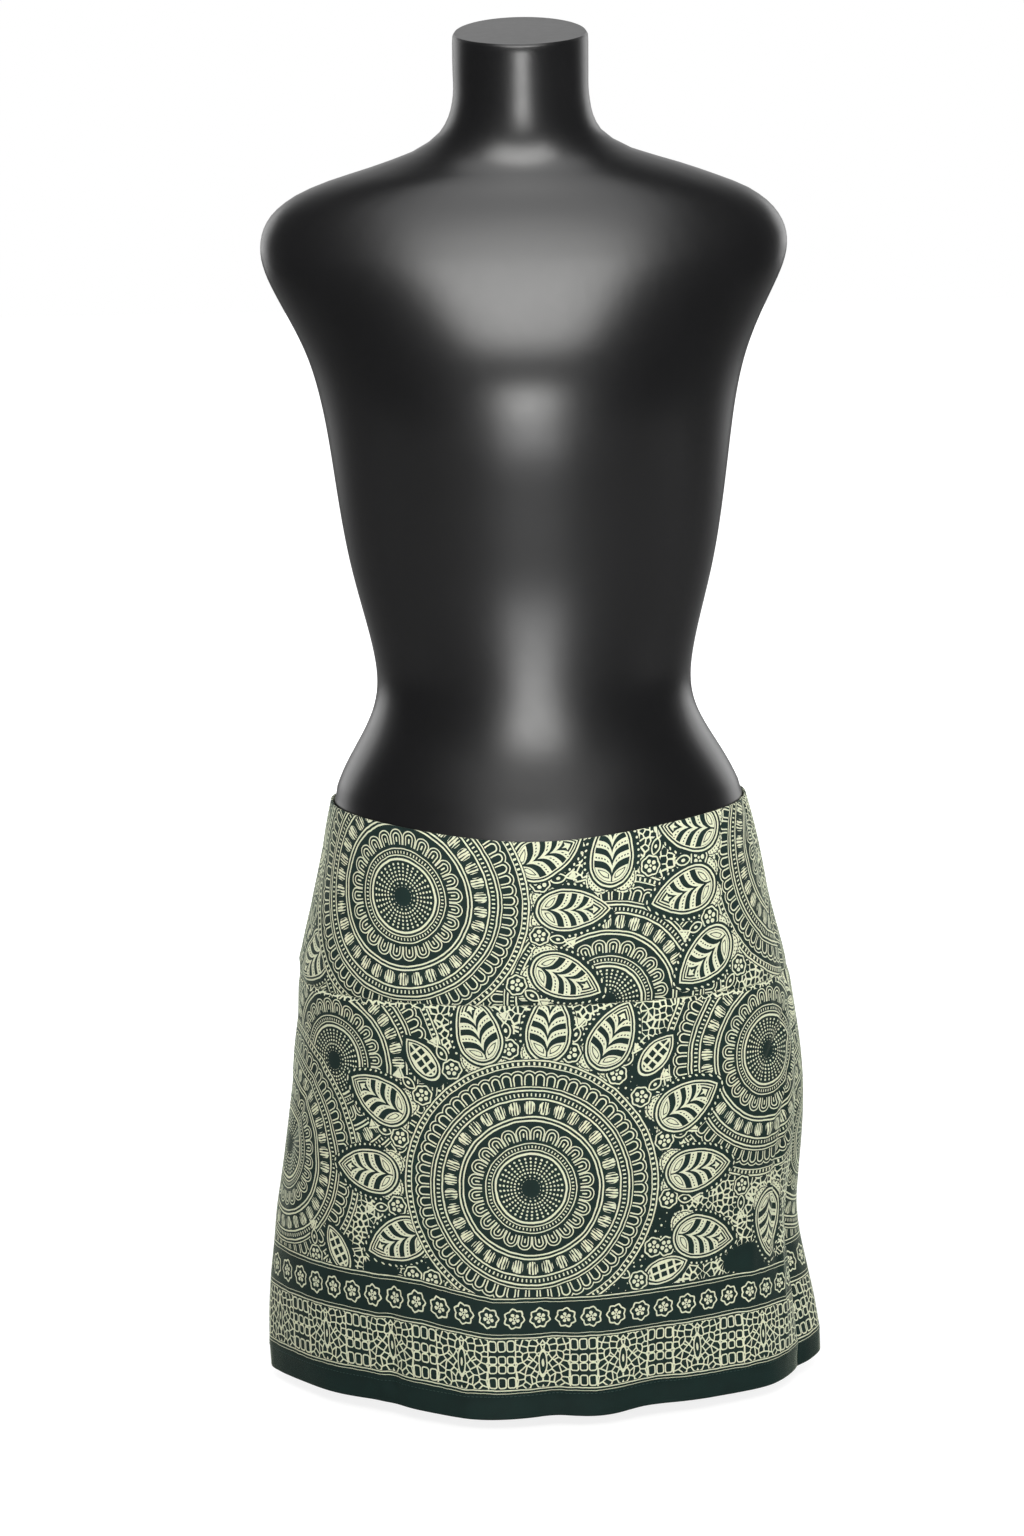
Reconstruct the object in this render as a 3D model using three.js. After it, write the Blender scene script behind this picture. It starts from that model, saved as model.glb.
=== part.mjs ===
// Mini skirt with a deep yoke, worn on a limbless torso dress form.
// Millimetres, +Z up, the front faces -Y. The origin is the middle of the form's foot, on the floor.
// Angles go round the form in degrees: 0 is the centre front, 90 the wearer's left side (+X).
import * as THREE from 'three';

// Cloth
const wall = 1.8; // the printed cotton with its seam allowances pressed flat
const seamGap = 0.3; // clear gap between two pieces at a seam
const seatGap = 0.75; // clear gap between the yoke and the form it is worn on
const sideSeam = 81; // the skirt is turned a little: one side seam lies just forward of the side
const seamDip = 0.7; // how far a sewn edge sinks into the cloth
const seamSpread = 5; // how far from the stitching the cloth has risen again
const columns = 40; // facets across one panel
const yokeRowStep = 19; // the longest facet down the yoke
const panelRowStep = 25; // and down the panels

// Heights
const topHeight = 443; // folded top edge at the sides
const topDip = 15; // the top edge is lower at the centre front
const backRise = 7; // and higher at the centre back
const yokeHeight = 312; // seam between the yoke and the panels
const hemHeight = 8; // lowest edge of the cloth
const hemDepth = 18; // turned-up hem
const hemExtra = 0.9; // the turned-up layer inside
const hemRidge = 0.5; // soft ridge where the hem is stitched
const hemTop = hemHeight + hemDepth;
const hemEase = 4; // height over which the hem's second layer sets in
const foldGrowth = 1.4; // folds deepen faster the nearer they come to the hem

// The cloth's outline at each height: half widths to the two sides, depths to the front and back.
// fullness shapes the front and back, corner the sides: 2 and 2 is an ellipse, a lower corner is sharper.
const clothSections = [
  { z: 6, left: 206.8, right: 209.0, front: 137, back: 141, fullness: 2.0, corner: 1.3 },
  { z: 33, left: 207.6, right: 207.8, front: 137, back: 141, fullness: 2.0, corner: 1.32 },
  { z: 56, left: 206.7, right: 204.0, front: 137, back: 140, fullness: 2.0, corner: 1.36 },
  { z: 80, left: 204.8, right: 199.0, front: 136, back: 139, fullness: 2.0, corner: 1.42 },
  { z: 105, left: 201.8, right: 194.0, front: 135, back: 138, fullness: 2.0, corner: 1.5 },
  { z: 130, left: 199.2, right: 191.8, front: 134, back: 136, fullness: 2.0, corner: 1.6 },
  { z: 160, left: 194.2, right: 193.8, front: 133, back: 134, fullness: 2.05, corner: 1.7 },
  { z: 190, left: 189.6, right: 196.2, front: 131, back: 132, fullness: 2.1, corner: 1.8 },
  { z: 222, left: 185.2, right: 197.0, front: 129, back: 130, fullness: 2.1, corner: 1.9 },
  { z: 248, left: 182.2, right: 195.5, front: 127, back: 128, fullness: 2.15, corner: 2.0 },
  { z: 275, left: 179.3, right: 192.0, front: 126, back: 126, fullness: 2.15, corner: 2.05 },
  { z: 301, left: 177.8, right: 188.0, front: 124, back: 124, fullness: 2.2, corner: 2.1 },
  { z: 328, left: 175.3, right: 182.0, front: 122, back: 121, fullness: 2.2, corner: 2.15 },
  { z: 366, left: 166.5, right: 172.5, front: 117, back: 115, fullness: 2.2, corner: 2.2 },
  { z: 404, left: 157.7, right: 165.5, front: 111, back: 107, fullness: 2.2, corner: 2.2 },
  { z: 440, left: 151.0, right: 157.0, front: 103, back: 99, fullness: 2.2, corner: 2.2 },
  { z: 452, left: 146.5, right: 152.5, front: 100, back: 96, fullness: 2.2, corner: 2.2 },
];

// Soft folds: out is how far the cloth stands out (or sinks in) at the hem, from is where each starts.
const folds = [
  { angle: -150, spread: 13, out: 6.0, from: 250 },
  { angle: -127, spread: 8, out: -4.0, from: 170 },
  { angle: -78, spread: 9, out: -2.0, from: 120 },
  { angle: -52, spread: 9, out: -5.0, from: 140 },
  { angle: -20, spread: 12, out: 5.0, from: 210 },
  { angle: 3, spread: 7, out: -4.5, from: 110 },
  { angle: 33, spread: 12, out: -6.0, from: 160 },
  { angle: 67, spread: 8, out: 6.0, from: 230 },
  { angle: 81, spread: 4, out: -3.5, from: 300 },
  { angle: 118, spread: 9, out: -4.0, from: 150 },
  { angle: 139, spread: 12, out: 6.0, from: 230 },
  { angle: 178, spread: 10, out: -5.0, from: 200 },
];

// The hem's edge hangs unevenly: lift is its height above the lowest point.
const hemLine = [
  { angle: -180, lift: 2 },
  { angle: -140, lift: 0 },
  { angle: -105, lift: 1 },
  { angle: -90, lift: -0.5 },
  { angle: -53, lift: 1.5 },
  { angle: -20, lift: 0 },
  { angle: 4, lift: 1 },
  { angle: 20, lift: 0 },
  { angle: 33, lift: 2 },
  { angle: 67, lift: 0 },
  { angle: 81, lift: 0.5 },
  { angle: 93, lift: 4.5 },
  { angle: 125, lift: 3 },
  { angle: 180, lift: 2 },
];
const hemSwing = 90; // height over which the cloth takes up the uneven hem

// The torso above and below the yoke, with the same columns. tilt leans a section forward, in degrees.
const formSections = [
  { z: 0, left: 119, right: 119, front: 71, back: 71, fullness: 2.3, corner: 2.3, tilt: 0 },
  { z: 3, left: 122, right: 122, front: 74, back: 74, fullness: 2.3, corner: 2.3, tilt: 0 },
  { z: 60, left: 130, right: 130, front: 78, back: 80, fullness: 2.3, corner: 2.3, tilt: 0 },
  { z: 130, left: 144, right: 145, front: 89, back: 93, fullness: 2.3, corner: 2.3, tilt: 0 },
  { z: 200, left: 160, right: 163, front: 103, back: 108, fullness: 2.25, corner: 2.2, tilt: 0 },
  { z: 250, left: 169, right: 174, front: 113, back: 118, fullness: 2.2, corner: 2.15, tilt: 0 },
  { z: 288, left: 173, right: 182, front: 119, back: 121, fullness: 2.2, corner: 2.1, tilt: 0 },
  { z: 463, left: 143, right: 147, front: 98, back: 92, fullness: 2.2, corner: 2.2, tilt: 0 },
  { z: 481, left: 131, right: 135, front: 93, back: 84, fullness: 2.2, corner: 2.2, tilt: 0 },
  { z: 508, left: 116, right: 118, front: 85, back: 76, fullness: 2.15, corner: 2.15, tilt: 0 },
  { z: 530, left: 112, right: 115, front: 82, back: 73, fullness: 2.1, corner: 2.1, tilt: 0 },
  { z: 568, left: 119, right: 122, front: 84, back: 74, fullness: 2.1, corner: 2.1, tilt: 0 },
  { z: 615, left: 131, right: 134, front: 91, back: 80, fullness: 2.1, corner: 2.1, tilt: 0 },
  { z: 665, left: 139, right: 142, front: 101, back: 87, fullness: 2.1, corner: 2.1, tilt: 0 },
  { z: 705, left: 144, right: 147, front: 111, back: 92, fullness: 2.1, corner: 2.1, tilt: 0 },
  { z: 740, left: 150, right: 152, front: 115, back: 95, fullness: 2.1, corner: 2.1, tilt: 0 },
  { z: 775, left: 160, right: 161, front: 110, back: 98, fullness: 2.1, corner: 2.1, tilt: 0 },
  { z: 805, left: 176, right: 175, front: 99, back: 100, fullness: 2.1, corner: 2.1, tilt: 0 },
  { z: 830, left: 188, right: 187, front: 88, back: 100, fullness: 2.1, corner: 2.1, tilt: 0 },
  { z: 852, left: 190, right: 189, front: 77, back: 97, fullness: 2.05, corner: 2.05, tilt: 0 },
  { z: 870, left: 182, right: 180, front: 67, back: 92, fullness: 2.0, corner: 2.0, tilt: 0 },
  { z: 884, left: 164, right: 162, front: 58, back: 86, fullness: 1.95, corner: 1.95, tilt: 0 },
  { z: 894, left: 140, right: 138, front: 52, back: 81, fullness: 1.9, corner: 1.9, tilt: 0 },
  { z: 903, left: 111, right: 113, front: 47, back: 77, fullness: 1.85, corner: 1.85, tilt: 1 },
  { z: 914, left: 80, right: 79, front: 43, back: 73, fullness: 1.9, corner: 1.9, tilt: 3 },
  { z: 928, left: 59.5, right: 57, front: 40, back: 69, fullness: 2.0, corner: 2.0, tilt: 5 },
  { z: 950, left: 50.0, right: 49, front: 39, back: 65, fullness: 2.0, corner: 2.0, tilt: 8 },
  { z: 978, left: 49.2, right: 48.3, front: 41, back: 61, fullness: 2.0, corner: 2.0, tilt: 11 },
  { z: 996, left: 48.8, right: 48.3, front: 42, back: 59, fullness: 2.0, corner: 2.0, tilt: 11 },
  { z: 998, left: 47.6, right: 47.1, front: 40.8, back: 57.8, fullness: 2.0, corner: 2.0, tilt: 11 },
];
const fitFrom = 289; // between these heights the torso takes the yoke's shape instead
const fitTo = 454;
const formColumns = 56;
const formRowStep = 30; // the longest facet up the torso
const formYokeStep = 16; // shorter facets where the yoke is fitted
const formNeckStep = 12; // and round the neck
const neckFrom = 880; // where the shoulders run into the neck

const printedCotton = { color: 0x80876b, roughness: 0.85, metalness: 0 };
const blackGloss = { color: 0x101113, roughness: 0.25, metalness: 0 };

const halvings = 40; // steps that close in on a point of an outline
const nudge = 0.5; // how far apart two points are compared, in degrees and millimetres
const smooth = THREE.MathUtils.smoothstep;
const radians = THREE.MathUtils.degToRad;

// Value of one column of a table at a place along another: a smooth curve through the rows.
function along(table, key, place, column) {
  const at = THREE.MathUtils.clamp(place, table[0][key], table.at(-1)[key]);
  let i = 0;
  while (i < table.length - 2 && at > table[i + 1][key]) i += 1;
  const slope = (j) => {
    const before = table[Math.max(j - 1, 0)];
    const after = table[Math.min(j + 1, table.length - 1)];
    return (after[column] - before[column]) / (after[key] - before[key]);
  };
  const [a, b] = [table[i], table[i + 1]];
  const step = b[key] - a[key];
  const t = (at - a[key]) / step;
  const bend = (1 - t) ** 2 * t * slope(i) - t ** 2 * (1 - t) * slope(i + 1);
  return THREE.MathUtils.lerp(a[column], b[column], t * t * (3 - 2 * t)) + step * bend;
}

// Distance from the middle to a rounded outline, at an angle round it.
function outline({ left, right, front, back, fullness, corner }, angle) {
  const sideways = Math.sin(radians(angle));
  const forward = Math.cos(radians(angle));
  const width = Math.abs(sideways) / (sideways < 0 ? left : right);
  const depth = Math.abs(forward) / (forward < 0 ? back : front);
  let [near, far] = [0, 1 / Math.max(width, depth)];
  for (let i = 0; i < halvings; i += 1) {
    const reach = (near + far) / 2;
    const inside = (reach * width) ** fullness + (reach * depth) ** corner < 1;
    [near, far] = inside ? [reach, far] : [near, reach];
  }
  return (near + far) / 2;
}

function sectionAt(table, z) {
  const names = Object.keys(table[0]).filter((name) => name !== 'z');
  return Object.fromEntries(names.map((name) => [name, along(table, 'z', z, name)]));
}

// Shortest way round from one angle to another, in degrees.
function turnBetween(angle, other) {
  return THREE.MathUtils.euclideanModulo(angle - other + 180, 360) - 180;
}

function foldAt(angle, z) {
  let out = 0;
  for (const fold of folds) {
    const near = Math.exp(-((turnBetween(angle, fold.angle) / fold.spread) ** 2));
    const grown = THREE.MathUtils.clamp((fold.from - z) / (fold.from - hemHeight), 0, 1) ** foldGrowth;
    out += fold.out * near * grown;
  }
  return out;
}

// A point of the cloth's surface. height is the nominal height, before the edges dip and swing.
function clothPoint(angle, height) {
  const forward = Math.cos(radians(angle));
  const topLift = forward > 0 ? -topDip * forward ** 2 : backRise * forward ** 2;
  const hemLift = along(hemLine, 'angle', turnBetween(angle, 0), 'lift');
  const top = smooth(height, yokeHeight, topHeight);
  const low = 1 - smooth(height, hemHeight, hemHeight + hemSwing);
  const z = height + topLift * top + hemLift * low;
  const reach = outline(sectionAt(clothSections, z), angle) + foldAt(angle, z);
  return new THREE.Vector3(reach * Math.sin(radians(angle)), -reach * forward, z);
}

// The way out of the cloth at a point, square to it.
function clothNormal(angle, height) {
  const across = clothPoint(angle + nudge, height).sub(clothPoint(angle - nudge, height));
  const up = clothPoint(angle, height + nudge).sub(clothPoint(angle, height - nudge));
  return across.cross(up).normalize();
}

// How far the outside lies from the cloth's surface: in at a seam, out along the hem's stitching.
function outsideStep(height, fromSide) {
  const fromYoke = Math.abs(height - yokeHeight);
  const sunk = Math.max(Math.exp(-((fromYoke / seamSpread) ** 2)), Math.exp(-((fromSide / seamSpread) ** 2)));
  const fromStitch = (height - hemTop) / hemEase;
  return hemRidge * Math.exp(-((2 * fromStitch) ** 2)) - seamDip * sunk;
}

// A closed mesh from its corners and faces, each a ring of corner numbers turning outward.
function solid(name, corners, quads, look) {
  const geometry = new THREE.BufferGeometry();
  const triangles = quads.flatMap(([a, b, c, d]) => (d === undefined ? [a, b, c] : [a, b, c, a, c, d]));
  geometry.setAttribute('position', new THREE.Float32BufferAttribute(corners.flatMap((p) => p.toArray()), 3));
  geometry.setIndex(triangles);
  geometry.computeVertexNormals();
  const mesh = new THREE.Mesh(geometry, new THREE.MeshStandardMaterial(look));
  mesh.name = name;
  return mesh;
}

// A panel of cloth: a wall between two side seams, through rows of nominal heights from the top down.
function panel(name, fromAngle, toAngle, heights) {
  const corners = [];
  const rowLength = columns + 1;
  for (const side of ['outside', 'inside']) {
    for (const height of heights) {
      const sideReach = clothPoint(fromAngle, height).setZ(0).length();
      const inset = THREE.MathUtils.radToDeg(seamGap / 2 / sideReach);
      const thick = wall + (height <= hemTop ? hemExtra : 0);
      for (let i = 0; i <= columns; i += 1) {
        const angle = THREE.MathUtils.lerp(fromAngle + inset, toAngle - inset, i / columns);
        const fromSide = radians(Math.min(angle - fromAngle, toAngle - angle)) * sideReach;
        const step = side === 'outside' ? outsideStep(height, fromSide) : -thick;
        corners.push(clothPoint(angle, height).addScaledVector(clothNormal(angle, height), step));
      }
    }
  }
  const inner = rowLength * heights.length;
  const at = (row, column) => row * rowLength + column;
  const last = heights.length - 1;
  const quads = [];
  for (let row = 0; row < last; row += 1) {
    for (let i = 0; i < columns; i += 1) {
      const ring = [at(row, i), at(row + 1, i), at(row + 1, i + 1), at(row, i + 1)];
      quads.push(ring, ring.map((corner) => corner + inner).reverse());
    }
    for (const [edge, turned] of [[0, false], [columns, true]]) {
      const [high, low] = [at(row, edge), at(row + 1, edge)];
      const ring = [high, high + inner, low + inner, low];
      quads.push(turned ? ring.reverse() : ring);
    }
  }
  for (let i = 0; i < columns; i += 1) {
    const [a, b, c, d] = [at(0, i), at(0, i + 1), at(last, i), at(last, i + 1)];
    quads.push([a, b, b + inner, a + inner], [d, c, c + inner, d + inner]);
  }
  return solid(name, corners, quads, printedCotton);
}

// Heights from one to another in equal steps no longer than a given one, ends included.
function steps(from, to, longest) {
  const count = Math.ceil(Math.abs(to - from) / longest);
  return Array.from({ length: count + 1 }, (_, i) => THREE.MathUtils.lerp(from, to, i / count));
}

// A point of the torso. Through the yoke it follows the cloth's inside, with a clear gap.
function formPoint(angle, z) {
  if (z > fitFrom && z < fitTo) {
    const section = sectionAt(clothSections, z);
    const reach = outline(section, angle);
    const point = new THREE.Vector3(reach * Math.sin(radians(angle)), -reach * Math.cos(radians(angle)), z);
    const growth = outline(section, angle + nudge) - outline(section, angle - nudge);
    const slant = Math.atan2(growth, radians(2 * nudge) * reach);
    const inward = radians(angle) - slant;
    const gap = wall + seatGap;
    return point.add(new THREE.Vector3(-gap * Math.sin(inward), gap * Math.cos(inward), 0));
  }
  const { tilt, ...section } = sectionAt(formSections, z);
  const reach = outline(section, angle);
  const y = -reach * Math.cos(radians(angle));
  const middle = (section.back - section.front) / 2;
  return new THREE.Vector3(reach * Math.sin(radians(angle)), y, z + (y - middle) * Math.tan(radians(tilt)));
}

function torso(name) {
  const rows = [];
  for (let i = 0; i < formSections.length - 1; i += 1) {
    const [low, high] = [formSections[i].z, formSections[i + 1].z];
    const fitted = low < yokeHeight && high > topHeight;
    const longest = fitted ? formYokeStep : low >= neckFrom ? formNeckStep : formRowStep;
    rows.push(...steps(low, high, longest).slice(0, -1));
  }
  rows.push(formSections.at(-1).z);
  const corners = [];
  for (const z of rows) {
    for (let i = 0; i < formColumns; i += 1) corners.push(formPoint((i * 360) / formColumns, z));
  }
  const foot = corners.push(new THREE.Vector3(0, 0, 0)) - 1;
  const neck = corners.slice(-1 - formColumns, -1);
  const neckMiddle = neck.reduce((sum, p) => sum.add(p), new THREE.Vector3()).divideScalar(formColumns);
  const cap = corners.push(neckMiddle) - 1;
  const quads = [];
  for (let i = 0; i < formColumns; i += 1) {
    const next = (i + 1) % formColumns;
    for (let row = 0; row < rows.length - 1; row += 1) {
      const [low, high] = [row * formColumns, (row + 1) * formColumns];
      quads.push([low + i, low + next, high + next, high + i]);
    }
    const top = (rows.length - 1) * formColumns;
    quads.push([foot, next, i], [cap, top + i, top + next]);
  }
  return solid(name, corners, quads, blackGloss);
}

const yokeRows = steps(topHeight, yokeHeight + seamGap / 2, yokeRowStep);
const panelRows = [
  yokeHeight - seamGap / 2,
  yokeHeight - seamSpread,
  ...steps(yokeHeight - 2 * seamSpread, hemTop + hemEase, panelRowStep),
  hemTop,
  hemTop - hemEase,
  hemHeight,
];
const [seamA, seamB] = [sideSeam - 180, sideSeam];

const skirtOnForm = new THREE.Group();
skirtOnForm.add(
  torso('form_torso'),
  panel('yoke_front', seamA, seamB, yokeRows),
  panel('yoke_back', seamB, seamB + 180, yokeRows),
  panel('skirt_front', seamA, seamB, panelRows),
  panel('skirt_back', seamB, seamB + 180, panelRows),
);

export default skirtOnForm;
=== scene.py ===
import math

import bmesh
import bpy
import numpy as np
from mathutils import Matrix, Vector


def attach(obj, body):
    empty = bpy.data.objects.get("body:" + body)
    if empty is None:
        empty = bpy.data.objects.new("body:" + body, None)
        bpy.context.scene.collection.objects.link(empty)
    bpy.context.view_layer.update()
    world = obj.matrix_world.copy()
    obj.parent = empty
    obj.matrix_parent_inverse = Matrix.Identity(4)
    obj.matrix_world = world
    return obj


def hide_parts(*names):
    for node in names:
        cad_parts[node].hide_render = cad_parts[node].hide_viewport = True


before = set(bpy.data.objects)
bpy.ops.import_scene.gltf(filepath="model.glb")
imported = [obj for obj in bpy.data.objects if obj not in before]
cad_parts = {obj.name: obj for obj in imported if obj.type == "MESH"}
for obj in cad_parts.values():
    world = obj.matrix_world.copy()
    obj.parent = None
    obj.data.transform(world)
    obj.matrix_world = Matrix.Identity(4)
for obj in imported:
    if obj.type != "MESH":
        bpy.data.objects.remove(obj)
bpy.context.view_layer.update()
mm = 0.001  # all tables are in millimetres, the meshes in metres
tau = 2 * math.pi


class Wire:  # a number on its way through a node tree, so that formulas can be written as formulas
    def __init__(self, tree, socket):
        self.tree = tree
        self.socket = socket

    def run(self, operation, *others):
        node = self.tree.nodes.new("ShaderNodeMath")
        node.operation = operation
        for socket, value in zip(node.inputs, (self, *others)):
            plug(self.tree, value, socket)
        return Wire(self.tree, node.outputs[0])

    def __add__(self, other):
        return self.run("ADD", other)

    def __sub__(self, other):
        return self.run("SUBTRACT", other)

    def __mul__(self, other):
        return self.run("MULTIPLY", other)

    def __truediv__(self, other):
        return self.run("DIVIDE", other)

    def __lt__(self, other):
        return self.run("LESS_THAN", other)

    def __gt__(self, other):
        return self.run("GREATER_THAN", other)

    def __neg__(self):
        return self * -1.0

    def __invert__(self):  # 1 for 0, and 0 for 1
        return -self + 1.0

    def __or__(self, other):
        return self.run("MAXIMUM", other)

    def __and__(self, other):
        return self.run("MINIMUM", other)

    def __abs__(self):
        return self.run("ABSOLUTE")

    def near(self, middle, reach):  # 1 where the value is within reach of the middle
        return self.run("COMPARE", middle, reach)

    def between(self, low, high):
        return self.near((low + high) / 2, (high - low) / 2)

    def cell(self, count=1.0):  # place within a repeat, from -0.5 to 0.5
        return (self * count).run("FRACT") - 0.5


def plug(tree, value, socket):
    if isinstance(value, Wire):
        tree.links.new(value.socket, socket)
    elif isinstance(value, bpy.types.NodeSocket):
        tree.links.new(value, socket)
    elif value is not None:
        socket.default_value = value


def plugAll(tree, node, inputs):
    for name, value in inputs.items():
        plug(tree, value, node.inputs[name])
    return node


def addNode(tree, kind, inputs=None, **settings):
    node = tree.nodes.new(kind)
    for name, value in settings.items():
        setattr(node, name, value)
    return plugAll(tree, node, inputs or {})


def vectorMath(tree, operation, first, second):
    return addNode(tree, "ShaderNodeVectorMath", {0: first, 1: second}, operation=operation).outputs[0]


def scaleVector(tree, vector, factor):
    return addNode(tree, "ShaderNodeVectorMath", {0: vector, "Scale": factor}, operation="SCALE").outputs[0]


def noiseAt(tree, place, scale, detail, roughness=0.5, **settings):
    inputs = {"Vector": place, "Scale": scale, "Detail": detail, "Roughness": roughness}
    return Wire(tree, addNode(tree, "ShaderNodeTexNoise", inputs, **settings).outputs[0])


def cellsAt(tree, place, scale, feature, randomness=1.0):
    inputs = {"Vector": place, "Scale": scale, "Randomness": randomness}
    return addNode(tree, "ShaderNodeTexVoronoi", inputs, voronoi_dimensions="2D", feature=feature)


def length(tree, x, y):
    return (x * x + y * y).run("SQRT")


def split(tree, vector):
    parts = addNode(tree, "ShaderNodeSeparateXYZ", {"Vector": vector})
    return Wire(tree, parts.outputs["X"]), Wire(tree, parts.outputs["Y"])


def join(tree, x, y):
    return addNode(tree, "ShaderNodeCombineXYZ", {"X": x, "Y": y}).outputs[0]


def choose(tree, factor, first, second, kind="FLOAT"):
    node = addNode(tree, "ShaderNodeMix", data_type=kind)
    at = {"FLOAT": 2, "VECTOR": 4, "RGBA": 6}[kind]
    plug(tree, factor, node.inputs[0])
    plug(tree, first, node.inputs[at])
    plug(tree, second, node.inputs[at + 1])
    out = node.outputs[{"FLOAT": 0, "VECTOR": 1, "RGBA": 2}[kind]]
    return Wire(tree, out) if kind == "FLOAT" else out


def profile(tree, value, bands, reach):  # cream bands along a distance, as one stepped ramp
    node = addNode(tree, "ShaderNodeValToRGB")
    node.color_ramp.interpolation = "CONSTANT"
    stops = node.color_ramp.elements
    stops[0].position, stops[0].color = 0.0, (0, 0, 0, 1)
    stops.remove(stops[1])
    for low, high in bands:
        for at, tone in ((low, 1.0), (high, 0.0)):
            stop = stops[0] if at <= 0 else stops.new(at / reach)
            stop.color = (tone, tone, tone, 1)
    plug(tree, value / reach, node.inputs[0])
    return Wire(tree, node.outputs[0])


def newGroup(name, inputs, outputs):
    tree = bpy.data.node_groups.new(name, "ShaderNodeTree")
    for socketName, kind in inputs:
        tree.interface.new_socket(socketName, in_out="INPUT", socket_type="NodeSocket" + kind)
    for socketName, kind in outputs:
        tree.interface.new_socket(socketName, in_out="OUTPUT", socket_type="NodeSocket" + kind)
    return tree, tree.nodes.new("NodeGroupInput"), tree.nodes.new("NodeGroupOutput")


def useGroup(tree, group, **inputs):
    return addNode(tree, "ShaderNodeGroup", inputs, node_tree=group)


def flowerAt(tree, r, turn, ring, size, petals=5):  # round petals set on a ring
    return length(tree, turn.cell(petals) * (tau * ring / petals), r - ring) < size


medallion = {
    "outer": 93.4,  # radius of the last ring
    "plainRings": [(24.4, 25.9), (27.5, 28.2), (32.4, 33.2), (48.8, 49.7), (51.5, 52.4), (64.4, 65.3),
                   (70.6, 71.6), (73.2, 74.0), (87.9, 88.8), (92.5, 93.4)],
    "tickRings": [(76, 0.17, 29.4, 31.2), (140, 0.17, 66.8, 69.2), (150, 0.19, 89.4, 91.8)],  # count, width, from, to
    "rays": 34,
    "raySpan": (6.9, 23.6),
    "raysFrom": 7.9,
    "rayStep": 2.6,
    "raysThin": 11.0,  # half the rays end here, before the middle
    "dotSize": 0.54,
    "dotGrowth": 0.012,
    "petals": 24,
    "petalRing": 41.0,
    "petalTop": 40.5,
    "petalSpan": (35.4, 47.5),
    "petalBands": [(2.15, 3.0), (4.5, 5.3)],
    "petalCore": 38.9,
    "beads": 34,
    "beadRing": 58.7,
    "beadHalf": 4.7,
    "arches": 62,
    "archTop": 80.0,
    "archSpan": (75.0, 86.0),
    "archBands": [(2.35, 3.35), (4.9, 5.7)],
}


def medallionGroup(shape):
    tree, given, out = newGroup("medallionPrint", [("Place", "Vector")], [("Cream", "Float")])
    x, y = split(tree, given.outputs["Place"])
    r = length(tree, x, y)
    turn = y.run("ARCTAN2", x) / tau

    row = ((r - shape["raysFrom"]) / shape["rayStep"]).cell() * shape["rayStep"]
    rayCount = (r < shape["raysThin"]) * (shape["rays"] * -0.5) + shape["rays"]
    beside = ((turn * rayCount).cell() * r * tau) / rayCount
    dots = length(tree, row, beside) - r * shape["dotGrowth"] < shape["dotSize"]
    cream = profile(tree, r, shape["plainRings"], 100) | dots * r.between(*shape["raySpan"])

    petalX = turn.cell(shape["petals"]) * (tau * shape["petalRing"] / shape["petals"])
    petals = profile(tree, length(tree, petalX, (r - shape["petalTop"]) | 0), shape["petalBands"], 10)
    core = length(tree, petalX, (abs(r - shape["petalCore"]) - 1.2) | 0) < 0.55
    cream = cream | petals * r.between(*shape["petalSpan"]) | core

    beadX = turn.cell(shape["beads"]) * (tau * shape["beadRing"] / shape["beads"])
    beadY = (r - shape["beadRing"]) / shape["beadHalf"]
    barrel = (beadX * beadX) / 15.5 + (beadY * beadY) * (beadY * beadY)
    worn = noiseAt(tree, join(tree, turn * 170.0, r * 0.14), 1.0, 1.0, noise_dimensions="2D")
    strokes = abs((beadX / 2.0 + 0.5).cell()) + (worn - 0.5) * 0.9 < 0.29  # the cutter's worn strokes in a bead
    cream = cream | (barrel < 1.0) * strokes

    archX = turn.cell(shape["arches"]) * (tau * shape["archTop"] / shape["arches"])
    arches = profile(tree, length(tree, archX, (r - shape["archTop"]) | 0), shape["archBands"], 10)
    cream = cream | arches * r.between(*shape["archSpan"])

    for count, share, low, high in shape["tickRings"]:
        cream = cream | (abs(turn.cell(count)) < share) * r.between(low, high)
    plug(tree, cream, out.inputs["Cream"])
    return tree


leafShape = {
    "halfWidth": 16.3,
    "base": 19.5,  # from the widest place back to the round base
    "tip": 34.5,  # and on to the tip
    "outline": [(0.0, 1.1), (2.45, 3.2)],
    "bandPitch": 9.2,
    "sweep": 13.0,  # how far a band runs forward on its way out
    "lobesFrom": -12.6,  # two round lobes fill the base behind this
    "tipFrom": 21.5,
    "tipBands": [(4.3, 5.2), (6.6, 12.0)],
    "sepals": 7.4,  # how far they stand out round the base
    "sepalTurn": 74,  # and how far round they go, in degrees
    "dotPitch": 4.4,
    "dotGap": 3.7,  # from the outline to the row of dots
    "halo": 2.6,  # dark ground round the outline
}


def leafDistance(tree, x, y, shape):  # how far inside the outline a point lies, in millimetres
    half, base, tip = shape["halfWidth"], shape["base"], shape["tip"]
    arc = (tip * tip + half * half) / (2 * half)
    flank = length(tree, x, abs(y) + (arc - half))
    ahead = -(flank - arc)
    behind = -(length(tree, x * (half / base), y) - half)
    return choose(tree, x > 0.0, behind, ahead)


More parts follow.
